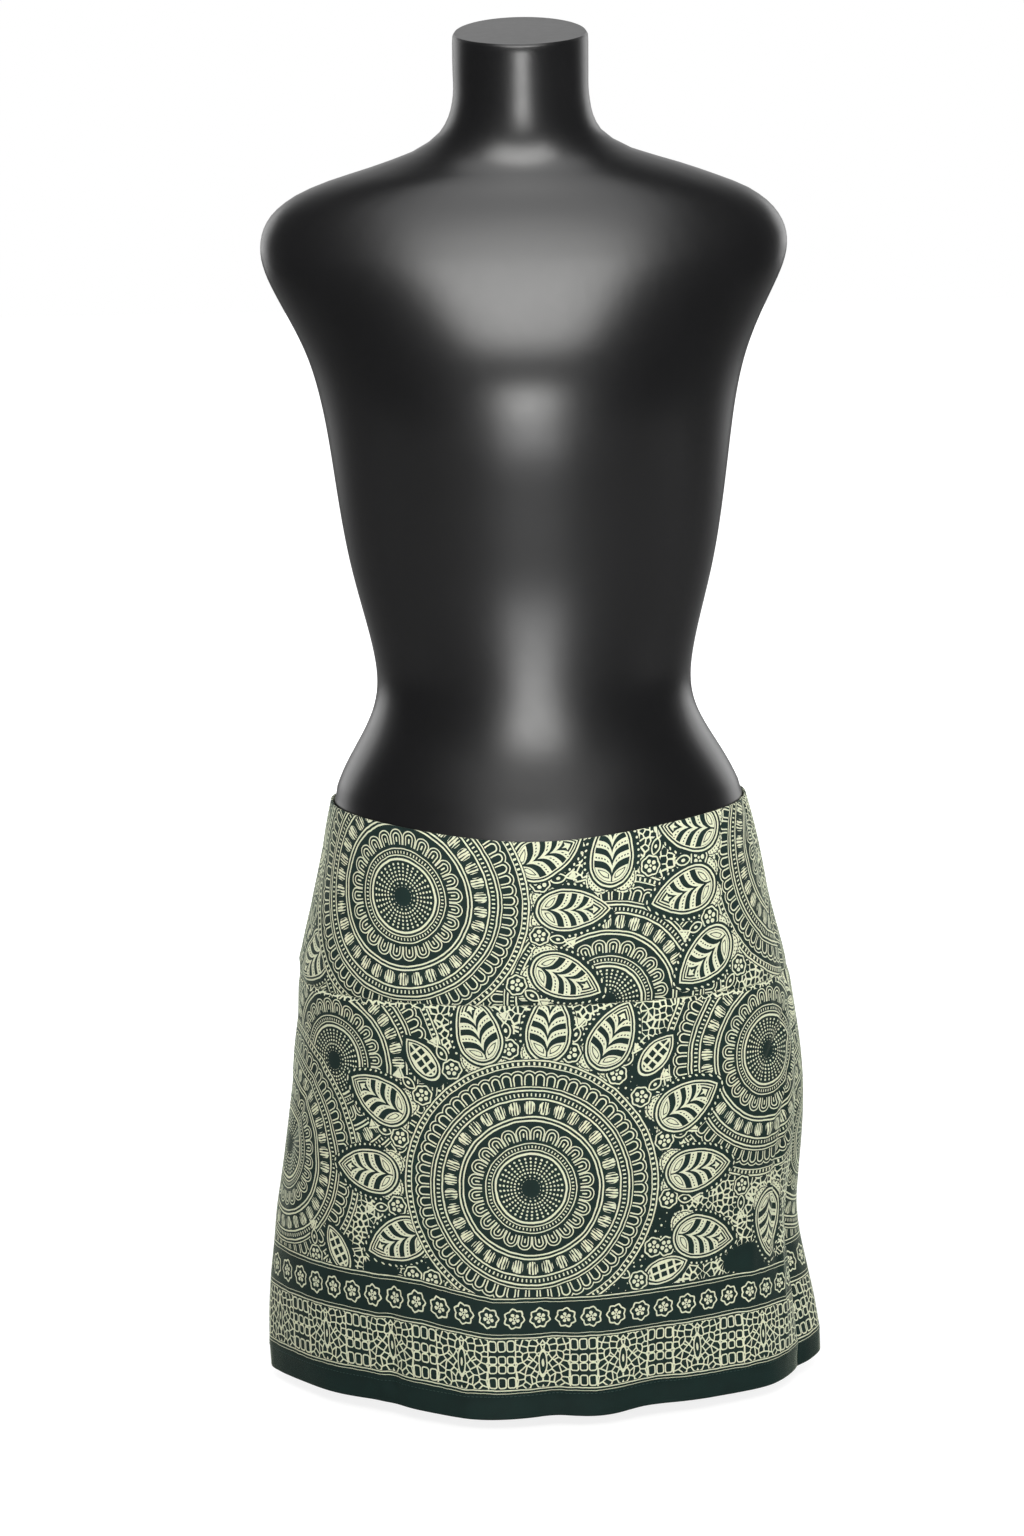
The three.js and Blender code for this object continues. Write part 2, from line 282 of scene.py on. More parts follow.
def leafGroup(shape):
    tree, given, out = newGroup("leafPrint", [("Place", "Vector")],
                                [("Cream", "Float"), ("Cover", "Float"), ("Blade", "Float")])
    x, y = split(tree, given.outputs["Place"])
    depth = leafDistance(tree, x, y, shape)
    outline = profile(tree, depth, shape["outline"], 30) * (depth > 0.0)

    side = abs(y)
    along = x - side / (side + 3.2) * shape["sweep"]
    band = (along / shape["bandPitch"] + 0.22).cell()
    stripe = abs(band) < 0.27
    pitted = (abs(band + 0.04) < 0.055) * (abs((side / 2.1).cell()) < 0.27) * (side > 2.5)
    lobe = (depth - 3.6) & (-along - 14.0) & (side * 0.9 - 0.5)
    lobes = (lobe > 0.0) * ~lobe.near(1.7, 0.3)
    blade = choose(tree, along < shape["lobesFrom"], stripe - pitted, lobes)
    tip = profile(tree, depth, shape["tipBands"], 30)
    inner = (choose(tree, x > shape["tipFrom"], blade, tip) | 0.0) * (depth > 3.0)

    around = side.run("ARCTAN2", -x) / math.radians(shape["sepalTurn"])
    swell = ((around & 1.0) * math.pi).run("SINE") * shape["sepals"]
    gap = -depth
    sepal = (gap > 1.6) * (gap < swell)
    fleck = abs(around.cell(11)) + abs((gap / 1.9).cell()) < 0.3
    sepals = sepal * ~((gap - swell).near(-1.5, 0.35) | fleck)

    dotX = ((x + y * 0.15) / shape["dotPitch"]).cell() * shape["dotPitch"]
    dots = (length(tree, dotX, depth + shape["dotGap"]) < 0.85) * (x > -6.0)

    cream = outline | inner | sepals | dots
    cover = (depth > -shape["halo"]) | sepal | (depth > -5.2) * (x > -8.0)
    plug(tree, cream, out.inputs["Cream"])
    plug(tree, cover, out.inputs["Cover"])
    plug(tree, depth > -1.6, out.inputs["Blade"])
    return tree


podShape = {
    "halfWidth": 9.6,
    "base": 17.0,
    "tip": 20.0,
    "outline": [(0.0, 0.95), (2.1, 20.0)],
    "panePitch": 6.2,
    "paneSpan": (0.8, 4.8),  # from the middle rib outwards
}


def podGroup(shape):
    tree, given, out = newGroup("podPrint", [("Place", "Vector")], [("Cream", "Float"), ("Cover", "Float")])
    x, y = split(tree, given.outputs["Place"])
    depth = leafDistance(tree, x, y, shape)
    outline = profile(tree, depth, shape["outline"], 20) * (depth > 0.0)
    pane = (abs((x / shape["panePitch"] + 0.5).cell()) < 0.36) * abs(y).between(*shape["paneSpan"]) * (depth > 2.9)
    plug(tree, outline * ~pane, out.inputs["Cream"])
    plug(tree, depth > -3.0, out.inputs["Cover"])
    return tree


rosetteShape = {  # a small flower, an eye beyond it and a trumpet beyond that, pointing along +X
    "edge": 7.3,
    "scallops": 7,
    "scallopDepth": 1.7,
    "petalRing": 3.3,
    "petalSize": 1.5,
    "eyeAt": 13.4,
    "trumpetAt": (18.8, 26.0),
}


def rosetteGroup(shape):
    tree, given, out = newGroup("rosettePrint", [("Place", "Vector")], [("Cream", "Float"), ("Cover", "Float")])
    x, y = split(tree, given.outputs["Place"])
    r = length(tree, x, y)
    turn = y.run("ARCTAN2", x) / tau
    edge = r - (abs(turn.cell(shape["scallops"])) * -shape["scallopDepth"] + shape["edge"])
    ring = edge.near(0.0, 0.55)
    petal = flowerAt(tree, r, turn, shape["petalRing"], shape["petalSize"]) & (edge < -1.2)
    eye = length(tree, x - shape["eyeAt"], abs(y) + 3.6) - 7.2
    eyeLine = eye.near(-0.5, 0.5) | (length(tree, x - shape["eyeAt"], y * 1.4) < 1.5)
    flare = abs(y) + (x - 18.6) * -0.55
    trumpet = (flare < 0.9) * x.between(*shape["trumpetAt"]) * ~flare.near(-0.9, 0.3)
    plug(tree, ring | petal | (r < 1.0) | eyeLine | trumpet, out.inputs["Cream"])
    plug(tree, (edge < 1.7) | (eye < 1.5) | trumpet, out.inputs["Cover"])
    return tree


netShape = {"scale": 0.215, "line": 0.13, "drift": 0.34, "driftScale": 0.07, "thinning": 0.4}


def netGroup(shape):  # the cream net that fills the ground, with dark holes of every size
    tree, given, out = newGroup("netPrint", [("Place", "Vector"), ("Thin", "Float")], [("Cream", "Float")])
    place = given.outputs["Place"]
    cells = cellsAt(tree, place, shape["scale"], "DISTANCE_TO_EDGE")
    drift = noiseAt(tree, place, shape["driftScale"], 1.0)
    wide = (drift - 0.5) * shape["drift"] + shape["line"]  # the lines run together in some places
    thin = Wire(tree, given.outputs["Thin"]) * shape["thinning"]
    plug(tree, Wire(tree, cells.outputs["Distance"]) + thin < wide, out.inputs["Cream"])
    return tree


specksShape = {"scale": 0.19, "randomness": 0.9, "size": 0.24, "missing": 0.035}


def specksGroup(shape):  # loose dots on the dark ground
    tree, given, out = newGroup("specksPrint", [("Place", "Vector")], [("Cream", "Float")])
    cells = cellsAt(tree, given.outputs["Place"], shape["scale"], "F1", shape["randomness"])
    lot = addNode(tree, "ShaderNodeSeparateColor", {"Color": cells.outputs["Color"]})
    size = Wire(tree, lot.outputs[0]) * shape["size"] - shape["missing"]  # some cells stay empty
    plug(tree, (Wire(tree, cells.outputs["Distance"]) - size) < 0.0, out.inputs["Cream"])
    return tree


border = {  # heights are above the hem
    "lines": [(19.3, 19.9), (21.2, 22.0), (60.3, 61.1), (62.9, 63.6), (86.8, 87.5), (89.2, 90.0)],
    "lattice": (22.2, 60.4),
    "latticePitch": 59.4,
    "latticeStart": -31.5,
    "columnShare": 0.34,
    "panes": 3,  # across a column of windows
    "innerRow": (3.35, 1.2),  # height from the middle, and half a pane's straight sides
    "outerRow": (13.75, 2.2),
    "rowSplit": 8.0,
    "webScale": 0.205,
    "starsAbove": 61.0,
    "starLine": 75.2,
    "starPitch": 18.6,
    "starStart": 15.3,
    "starSize": 7.5,
    "starDip": 3.0,
    "petalRing": 2.7,
    "petalSize": 1.25,
    "top": 91.2,
    # the block was laid a little askew: start and end across the front, and share of the height added there
    "drift": [(-38, -92, -0.095), (150, 205, 0.045)],
}


def borderGroup(shape):
    tree, given, out = newGroup("borderPrint", [("Place", "Vector")], [("Cream", "Float"), ("Cover", "Float")])
    u, v = split(tree, given.outputs["Place"])
    lines = profile(tree, v, shape["lines"], 100)

    starX = ((u - shape["starStart"]) / shape["starPitch"] + 0.5).cell() * shape["starPitch"]
    starY = v - shape["starLine"]
    r = length(tree, starX, starY)
    lean = (u / 41.0).run("SINE") * 0.05  # no two stars sit alike
    turn = starY.run("ARCTAN2", starX) / tau + lean
    edge = r + abs((turn + 0.25).cell(7)) * shape["starDip"] - shape["starSize"]
    flower = flowerAt(tree, r, turn, shape["petalRing"], shape["petalSize"])
    stars = edge.near(0.0, 0.6) | flower.run("SUBTRACT", r < 0.5) | r.near(1.0, 0.35)

    low, high = shape["lattice"]
    middle = (low + high) / 2
    pitch, share = shape["latticePitch"], shape["columnShare"]
    place = (u - shape["latticeStart"]) / pitch
    tile = (place + 0.5).cell()  # 0 at the middle of a column of windows
    inColumn = abs(tile) < share / 2
    paneX = abs((tile * (shape["panes"] / share) + 0.5).cell()) * (pitch * share / shape["panes"])
    fromMiddle = abs(v - middle)
    inner, outer = (abs(fromMiddle - at) - half for at, half in (shape["innerRow"], shape["outerRow"]))
    paneY = choose(tree, fromMiddle < shape["rowSplit"], outer, inner)
    pane = length(tree, (paneX - 1.0) | 0, paneY | 0)
    column = pane.between(1.15, 2.15)  # rounded panes, and dark bars between their rows

    tileX = abs(place.cell()) * pitch
    tileY = v - middle
    web = cellsAt(tree, join(tree, tileX, tileY), shape["webScale"], "DISTANCE_TO_EDGE", 0.95)
    webLine = Wire(tree, web.outputs["Distance"]) < 0.1
    spindle = length(tree, tileX, tileY * 0.3)
    netTile = choose(tree, spindle < 3.4, webLine, spindle.near(2.9, 0.45) | (spindle < 0.9)) * (tileX < 19.2)
    edgeLine = (abs(abs(tile) - share / 2) * pitch) < 0.45
    lattice = (choose(tree, inColumn, netTile, column) | edgeLine) * v.between(low + 0.6, high - 0.6)

    cream = choose(tree, v > shape["starsAbove"], lattice, stars) | lines
    plug(tree, cream, out.inputs["Cream"])
    plug(tree, v < shape["top"], out.inputs["Cover"])
    return tree


bodyArt = {
    "name": "bodyArtwork",
    "medallions": [(-163, 254), (183, 254), (-234, 178), (-8, 171)],  # the later ones lie on top
    "ring": (-8, 171, 93.4, 113.0),  # dark ground kept round this medallion
    "leaves": [(-45, 287, 107), (7, 289, 84), (53, 280, 62), (-122, 232, 152), (-134, 177, 177),
               (-110, 127, 203), (109, 226, 26), (118, 176, 3), (124, 123, -14), (189, 121, -88),
               (-255, 300, 120), (250, 130, -60)],
    "pods": [(-85, 262, 128), (84, 263, 46), (-163, 112, 118), (90, 103, 14)],
    "around": [(-8, 171, 102.5, angle) for angle in (98, 73, 123, 52, 140, 38, 161, 17, -8, 190, -29, 223)],
    "loose": [(-66, 96, 80), (70, 98, 150), (-188, 104, 95), (-98, 102, 200), (92, 121, 20), (157, 157, -90)],
    "bare": [(163, 99, 17, 9), (-126, 102, 11, 7), (-161, 119, 8, 5)],  # plain ground: middle, reach across and up
    "border": True,
    "net": 92.0,  # the net starts this far above the hem
    "seamNet": 300.0,
}

yokeArt = {
    "name": "yokeArtwork",
    "medallions": [(49, 2), (-228, -22), (226, 92), (-99, 76)],
    "ring": (-99, 76, 93.4, 112.0),
    "leaves": [(26, 72, -2), (20, 20, -25), (8, 114, 22), (55, 113, 87), (110, 74, 189), (125, 26, 215),
               (117, 117, 167), (-215, 95, 170), (-190, 20, 215)],
    "pods": [],
    "around": [(-99, 76, 103.0, angle) for angle in (10, -13, -36, 33, 160, 185)]
    + [(226, 92, 103.0, angle) for angle in (202, 178, 227)] + [(49, 2, 101.0, 70)],
    "loose": [],
    "bare": [],
    "border": False,
    "net": -10.0,
    "seamNet": None,
}


def placed(tree, place, x, y, angle):  # the point as seen from a motif's own middle and direction
    node = addNode(tree, "ShaderNodeMapping", {"Vector": place}, vector_type="TEXTURE")
    node.inputs["Location"].default_value = (x, y, 0)
    node.inputs["Rotation"].default_value = (0, 0, math.radians(angle))
    return node.outputs[0]


def lengthOf(tree, vector):
    return Wire(tree, addNode(tree, "ShaderNodeVectorMath", {0: vector}, operation="LENGTH").outputs["Value"])


def nearest(tree, place, spots, stretch=1.0):  # the point as seen from whichever motif is closest
    best, bestReach = None, None
    for x, y, angle in spots:
        local = placed(tree, place, x, y, angle)
        weighted = local
        if stretch != 1.0:
            weighted = vectorMath(tree, "MULTIPLY", local, (1.0, stretch, 1.0))
        reach = lengthOf(tree, weighted)
        if best is None:
            best, bestReach = local, reach
        else:
            closer = reach < bestReach
            best = choose(tree, closer, best, local, "VECTOR")
            bestReach = bestReach & reach
    return best


def artworkGroup(art, motifs):
    tree, given, out = newGroup(art["name"], [("Place", "Vector")], [("Cream", "Float")])
    place = given.outputs["Place"]
    u, v = split(tree, place)

    x, y, inner, outer = art["ring"]
    fromRing = lengthOf(tree, placed(tree, place, x, y, 0))
    specks = Wire(tree, useGroup(tree, motifs["specks"], Place=place).outputs[0])
    bare = None  # 1 where the ground is left plain, falling to 0 round it
    for x, y, across, up in art["bare"]:
        spot = vectorMath(tree, "MULTIPLY", placed(tree, place, x, y, 0), (1 / across, 1 / up, 0))
        depth = -lengthOf(tree, spot) + 1.6
        bare = depth if bare is None else bare | depth
    thin = 0.0 if bare is None else (bare | 0.0) & 1.0
    net = Wire(tree, useGroup(tree, motifs["net"], Place=place, Thin=thin).outputs[0])
    cream = choose(tree, (fromRing > outer) * (v > art["net"]), specks, net)

    local, inside = None, None
    for x, y in art["medallions"]:
        spot = placed(tree, place, x, y, 0)
        within = lengthOf(tree, spot) < medallion["outer"] + 1.2
        local = spot if local is None else choose(tree, within, local, spot, "VECTOR")
        inside = within if inside is None else inside | within
    disc = Wire(tree, useGroup(tree, motifs["medallion"], Place=local).outputs[0])
    cream = choose(tree, inside, cream, disc)

    onTop = fromRing < inner + 1.0  # the main medallion isn't crossed by what grows round it

    spots = list(art["loose"])
    for x, y, radius, angle in art["around"]:
        spots.append((x + radius * math.cos(math.radians(angle)), y + radius * math.sin(math.radians(angle)), angle))
    shift = (leafShape["tip"] - leafShape["base"]) / 2
    leafSpots = [(x - shift * math.cos(math.radians(a)), y - shift * math.sin(math.radians(a)), a)
                 for x, y, a in art["leaves"]]
    layers = [("leaf", leafSpots, 1.5)]
    if art["pods"]:
        layers.append(("pod", art["pods"], 1.6))
    layers.append(("rosette", spots, 1.0))
    blade = None
    for kind, where, stretch in layers:
        part = useGroup(tree, motifs[kind], Place=nearest(tree, place, where, stretch))
        cover = Wire(tree, part.outputs["Cover"]) - onTop
        cream = choose(tree, cover > 0.5, cream, Wire(tree, part.outputs["Cream"]))
        if kind == "leaf":
            blade, leafCream = Wire(tree, part.outputs["Blade"]) - onTop, Wire(tree, part.outputs["Cream"])
    if art["seamNet"]:  # the ground fills with net just under the seam
        cream = choose(tree, v > art["seamNet"], cream, net)
    cream = choose(tree, blade > 0.5, cream, leafCream)  # flowers and net pass behind the leaves

    if art["border"]:
        height = v
        for start, end, share in border["drift"]:
            full = ((u - start) / (end - start) | 0.0) & 1.0
            height = height * (full * share + 1.0)
        band = useGroup(tree, motifs["border"], Place=join(tree, u, height))
        cream = choose(tree, Wire(tree, band.outputs["Cover"]), cream, Wire(tree, band.outputs["Cream"]))
    plug(tree, cream, out.inputs["Cream"])
    return tree


printLook = {
    "cream": (0.75, 0.755, 0.535),
    "creamWorn": (0.60, 0.64, 0.475),
    "dark": (0.0040, 0.0115, 0.0100),
    "darkWorn": (0.0080, 0.0260, 0.0225),
    "wobble": 2.2,  # how far the hand-drawn lines wander, in mm
    "threads": 2.6,  # threads to the millimetre
    "showThrough": (0.45, 0.12),  # cream and ground as seen on the wrong side
    "roughness": 0.7,
    "specular": 0.26,
    "sheen": 0.4,
    "sheenTint": (0.88, 1.0, 0.78, 1),
    "sheenRoughness": 0.25,
}


def weaveGroup():  # plain weave: fine crossing threads with slubs, whose height is also used for painted light and shade in the cloth's colour
    tree, given, out = newGroup("clothWeave", [("Place", "Vector"), ("Threads", "Float")],
                                [("Height", "Float"), ("Fade", "Float")])
    u, v = split(tree, given.outputs["Place"])
    threads = Wire(tree, given.outputs["Threads"])
    warp = (u * threads * tau).run("SINE")
    weft = (v * threads * tau).run("SINE")
    plug(tree, warp * weft * 0.35 + noiseAt(tree, given.outputs["Place"], 0.9, 3.0), out.inputs["Height"])
    plug(tree, noiseAt(tree, given.outputs["Place"], 0.045, 4.0, 0.6), out.inputs["Fade"])
    return tree


def wobbleGroup():  # lets printed lines wander a little, as cut by hand
    tree, given, out = newGroup("handDrawn", [("Place", "Vector"), ("Reach", "Float")], [("Place", "Vector")])
    noise = addNode(tree, "ShaderNodeTexNoise", {"Vector": given.outputs["Place"], "Scale": 0.055, "Detail": 3.0,
                    "Roughness": 0.6})
    centred = vectorMath(tree, "SUBTRACT", noise.outputs["Color"], (0.5, 0.5, 0.5))
    moved = vectorMath(tree, "ADD", given.outputs["Place"], scaleVector(tree, centred, given.outputs["Reach"]))
    plug(tree, vectorMath(tree, "MULTIPLY", moved, (1, 1, 0)), out.inputs["Place"])
    return tree


def newMaterial(name):
    material = bpy.data.materials.new(name)
    material.use_nodes = True
    tree = material.node_tree
    return material, tree, next(node for node in tree.nodes if node.type == "BSDF_PRINCIPLED")


def clothMaterial(name, artwork, groups, look):
    material, tree, shader = newMaterial(name)
    chart = addNode(tree, "ShaderNodeUVMap", uv_map="clothUV")
    flat = scaleVector(tree, chart.outputs[0], 1 / mm)
    drawn = useGroup(tree, groups["wobble"], Place=flat, Reach=look["wobble"])
    cream = Wire(tree, useGroup(tree, artwork, Place=drawn.outputs[0]).outputs["Cream"])
    weave = useGroup(tree, groups["weave"], Place=flat, Threads=look["threads"])
    fade = Wire(tree, weave.outputs["Fade"])
    height = Wire(tree, weave.outputs["Height"])

    wrongSide = Wire(tree, addNode(tree, "ShaderNodeAttribute", attribute_name="wrongSide").outputs["Fac"])
    light = choose(tree, fade, (*look["cream"], 1), (*look["creamWorn"], 1), "RGBA")
    dark = choose(tree, fade, (*look["dark"], 1), (*look["darkWorn"], 1), "RGBA")
    creamShare, groundShare = look["showThrough"]
    mask = cream * (wrongSide * (creamShare - 1.0) + 1.0) + wrongSide * groundShare
    printed = choose(tree, mask, dark, light, "RGBA")
    # painted light and shade: the print's colour is lightened on the raised threads and slubs and darkened in the
    # hollows of the weave, following the bump's height
    tone = addNode(tree, "ShaderNodeHueSaturation", {"Color": printed, "Value": height * 0.35 + 0.8})
    bump = addNode(tree, "ShaderNodeBump", {"Strength": 0.35, "Distance": 0.0002, "Height": height})
    plugAll(tree, shader, {
        "Base Color": tone.outputs[0],
        "Roughness": cream * 0.06 + fade * 0.12 + look["roughness"],
        "Specular IOR Level": look["specular"],
        "Sheen Weight": look["sheen"],
        "Sheen Tint": look["sheenTint"],
        "Sheen Roughness": look["sheenRoughness"],
        "Normal": bump.outputs[0],
    })
    return material


formLook = {
    "base": (0.0030, 0.0030, 0.0034),
    "dusty": (0.010, 0.010, 0.011),
    "roughness": 0.31,
    "scuffs": 0.05,
    "specular": 0.6,
}


def formMaterial(look):
    material, tree, shader = newMaterial("formGloss")
    place = addNode(tree, "ShaderNodeTexCoord").outputs["Object"]
    cloudy = noiseAt(tree, place, 9.0, 4.0)
    fine = noiseAt(tree, place, 160.0, 3.0)
    bump = addNode(tree, "ShaderNodeBump", {"Strength": 0.08, "Distance": 0.0004, "Height": fine})
    plugAll(tree, shader, {
        "Base Color": choose(tree, cloudy * 0.5, (*look["base"], 1), (*look["dusty"], 1), "RGBA"),
        "Roughness": cloudy * look["scuffs"] + fine * 0.05 + (look["roughness"] - 0.05),
        "Specular IOR Level": look["specular"],
        "Normal": bump.outputs[0],
    })
    return material


print("finishes")
motifGroups = {
    "medallion": medallionGroup(medallion),
    "leaf": leafGroup(leafShape),
    "pod": podGroup(podShape),
    "rosette": rosetteGroup(rosetteShape),
    "net": netGroup(netShape),
    "specks": specksGroup(specksShape),
    "border": borderGroup(border),
}
finishGroups = {"weave": weaveGroup(), "wobble": wobbleGroup()}
bodyCloth = clothMaterial("bodyCotton", artworkGroup(bodyArt, motifGroups), finishGroups, printLook)
yokeCloth = clothMaterial("yokeCotton", artworkGroup(yokeArt, motifGroups), finishGroups, printLook)
formGloss = formMaterial(formLook)


def addObject(name, data):
    thing = bpy.data.objects.new(name, data)
    bpy.context.scene.collection.objects.link(thing)
    return thing


def smoothFaces(mesh):
    mesh.polygons.foreach_set("use_smooth", np.ones(len(mesh.polygons), bool))


def cadCorners(name):  # a CAD node's corners, each once, in mm
    work = bmesh.new()
    work.from_mesh(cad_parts[name].data)
    bmesh.ops.remove_doubles(work, verts=work.verts, dist=0.02 * mm)
    points = np.array([v.co[:] for v in work.verts]) / mm
    work.free()
    return points


def roundIndex(points, fromAngle, columns, turn):  # which column round the form each corner belongs to
    angles = np.degrees(np.arctan2(points[:, 0], -points[:, 1]))
    return np.rint(((angles - fromAngle + 2) % 360 - 2) / turn * columns).astype(int)


def wallGrid(name, fromAngle, columns):  # the outer wall of a panel, rows upwards and columns round
    points = cadCorners(name)
    index = roundIndex(points, fromAngle, columns, 180)
    strips = []
    for i in range(columns + 1):
        strip = points[index == i]
        pairs = strip[np.argsort(strip[:, 2])].reshape(-1, 2, 3)
        outer = np.argmax(np.hypot(pairs[..., 0], pairs[..., 1]), axis=1)
        strips.append(pairs[np.arange(len(pairs)), outer])
    return np.array(strips).transpose(1, 0, 2)


def smoothWeights(knots, places):  # weights of a smooth curve through the knots, for each place
    knots, places = np.asarray(knots, float), np.asarray(places, float)
    i = np.clip(np.searchsorted(knots, places, side="right") - 1, 0, len(knots) - 2)
    step = knots[i + 1] - knots[i]
    t = (places - knots[i]) / step
    weights = np.zeros((len(places), len(knots)))
    rows = np.arange(len(places))
    weights[rows, i] += 1 - t * t * (3 - 2 * t)
    weights[rows, i + 1] += t * t * (3 - 2 * t)
    for corner, amount in ((i, step * (1 - t) ** 2 * t), (i + 1, -step * t * t * (1 - t))):
        before, after = np.maximum(corner - 1, 0), np.minimum(corner + 1, len(knots) - 1)
        slope = amount / (knots[after] - knots[before])
        np.add.at(weights, (rows, after), slope)
        np.add.at(weights, (rows, before), -slope)
    return weights


def unitNormals(points):
    across = np.gradient(points, axis=1)
    up = np.gradient(points, axis=0)
    normals = np.cross(across, up)
    return normals / np.maximum(np.linalg.norm(normals, axis=2, keepdims=True), 1e-9)


cloth = {
    "thickness": 0.7,
    "cadColumns": 40,
    "middleColumn": 22.0,  # at the centre front, or the centre back
    "columns": 200,
    "rowStep": 2.6,
    "seamRoll": 0.8,  # radius of the turn-in at a seam
    "seamTurn": 1.6,  # how far it goes in beyond that
    "foldRadius": 0.82,  # folded top edge
    "facing": 12.0,  # what is turned in at the top
    "hemRadius": 1.15,
    "hemTurn": 18.0,
    "cadDip": 0.7,  # the CAD wall's own dip at a seam, taken out before the finer one goes in
    "cadRidge": 0.5,
    "seamDip": 0.8,
    "seamReach": 4.5,
    "creaseShare": 1.35,  # of the heights in the table of creases
    "yokeRipples": 0.45,  # of the skirt's own
}

ripples = {"seed": 7, "count": 22, "waves": (38, 130), "height": 0.055}  # waves run from shortest to longest
creaseEnds = {"beyond": 0.12, "fadeIn": 0.3, "fadeOut": 0.4}  # shares of a crease's length

panels = {  # artShift moves the cutter's print over the cloth
    "skirt_front": {"from": -99, "art": bodyCloth, "artShift": (0, 0), "hem": True},
    "skirt_back": {"from": 81, "art": bodyCloth, "artShift": (24, 3), "hem": True},
    "yoke_front": {"from": -99, "art": yokeCloth, "artShift": (0, 0), "hem": False},
    "yoke_back": {"from": 81, "art": yokeCloth, "artShift": (-30, -6), "hem": False},
}

# creases pressed or pulled into the cloth: ends (across, up), bow of the line, reach to each side, height
creases = {
    "skirt_front": [
        ((-118, 2), (-112, 118), 5, 7, -1.5),
        ((-131, 2), (-128, 96), 3, 6, 1.1),
        ((-236, 150), (-168, 262), 8, 6, -1.0),
        ((-228, 118), (-150, 214), 7, 8, 0.8),
        ((-262, 214), (-206, 290), 4, 5, 0.8),
        ((-205, 300), (-120, 292), 3, 4, 0.7),
        ((-60, 4), (-42, 76), 4, 7, 1.0),
        ((6, 2), (1, 92), -3, 8, -1.1),
        ((92, 3), (84, 70), 3, 7, -0.9),
        ((70, 300), (150, 284), -4, 5, 0.6),
        ((150, 6), (168, 128), -4, 7, 1.2),
        ((199, 96), (213, 252), 6, 3.5, -2.0),
        ((178, 186), (217, 236), 4, 3.5, 1.7),
        ((174, 232), (215, 282), 3, 3.5, -1.5),
        ((184, 292), (219, 250), -3, 3, 1.4),
        ((186, 150), (218, 190), 2, 3, -1.3),
        ((206, 20), (212, 116), 2, 4, 1.3),
    ],
    "skirt_back": [
        ((-212, 60), (-190, 210), -5, 6, 1.1),
        ((-150, 3), (-158, 128), 4, 8, -1.4),
        ((-84, 2), (-74, 88), 3, 7, 1.0),
        ((-20, 3), (-28, 120), -4, 9, -1.2),
        ((58, 2), (66, 96), 4, 7, 1.2),
        ((120, 3), (108, 138), 5, 8, -1.3),
        ((186, 4), (194, 88), 3, 6, 0.9),
        ((168, 206), (232, 262), 5, 6, -0.8),
        ((-96, 292), (10, 286), 4, 5, 0.7),
        ((60, 282), (150, 296), -3, 4, -0.6),
    ],
    "yoke_front": [
        ((-238, 14), (-190, 4), 2, 4, 0.8),
        ((-232, 46), (-176, 18), 4, 5, -0.9),
        ((-160, 8), (-86, 5), 1, 3, 0.5),
        ((40, 7), (120, 5), 1, 3, 0.45),
        ((150, 10), (206, 34), 4, 4, -0.8),
        ((166, 4), (212, 18), 2, 4, 0.7),
        ((172, 84), (196, 112), 3, 5, -0.5),
    ],
    "yoke_back": [
        ((-206, 16), (-150, 6), 3, 4, 0.8),
        ((-70, 6), (20, 9), 2, 4, 0.5),
        ((96, 8), (170, 5), 2, 4, -0.6),
        ((180, 34), (222, 12), 4, 5, 0.8),
        ((-120, 70), (-84, 108), 4, 6, -0.5),
    ],
}


def creaseHeight(u, v, table, ends):  # soft troughs and ridges, fading at their ends
    height = np.zeros_like(u)
    beyond = ends["beyond"]
    for (u0, v0), (u1, v1), bow, reach, tall in table:
        du, dv = u1 - u0, v1 - v0
        span = math.hypot(du, dv)
        t = ((u - u0) * du + (v - v0) * dv) / span ** 2
        off = ((v - v0) * du - (u - u0) * dv) / span - bow * np.clip(4 * t * (1 - t), 0, 1)
        fade = np.clip((t + beyond) / ends["fadeIn"], 0, 1) * np.clip((1 + beyond - t) / ends["fadeOut"], 0, 1)
        height += tall * np.exp(-(off / reach) ** 2) * fade ** 2 * (3 - 2 * fade)
    return height


def rippleHeight(u, v, look):  # slight unevenness of a worn cotton
    dice = np.random.default_rng(look["seed"])
    height = np.zeros_like(u)
    for _ in range(look["count"]):
        angle = dice.uniform(0, math.pi)
        wave = dice.uniform(*look["waves"])
        phase = dice.uniform(0, tau)
        height += np.sin((u * math.cos(angle) + v * math.sin(angle)) * tau / wave + phase) * wave / look["waves"][1]
    return height * look["height"]


def edgeSteps(radius, turn, quarter, rows):  # (distance in from the edge, depth under the surface)
    last, pace = (90, 17) if quarter else (180, 26)
    angles = [math.radians(a) for a in (*range(22, last, pace), last)]
    steps = [(radius * (1 - math.sin(a)), radius * (1 - math.cos(a))) for a in angles]
    deepest = steps[-1][1]
    for i in range(1, rows + 1):
        if quarter:
            steps.append((0.0, deepest + turn * i / rows))
        else:
            steps.append((radius + turn * i / rows, deepest))
    return steps


def easedPlaces(span, step):  # places along a length, closer together near both ends
    ends = np.array([0.0, 0.7, 1.5, 2.5, 3.7, 5.2])
    middle = np.linspace(7.2, span - 7.2, int((span - 14.4) / step) + 1)
    return np.concatenate([ends, middle, span - ends[::-1]])


bakeLayout = {  # how a panel's chart for baking is shared out
    "span": (0.002, 0.998),
    "outside": (0.112, 0.886),  # start and height
    "under": (0.002, 0.09),
    "rims": (0.0945, 0.0025),
    "rimStep": 0.004,
}


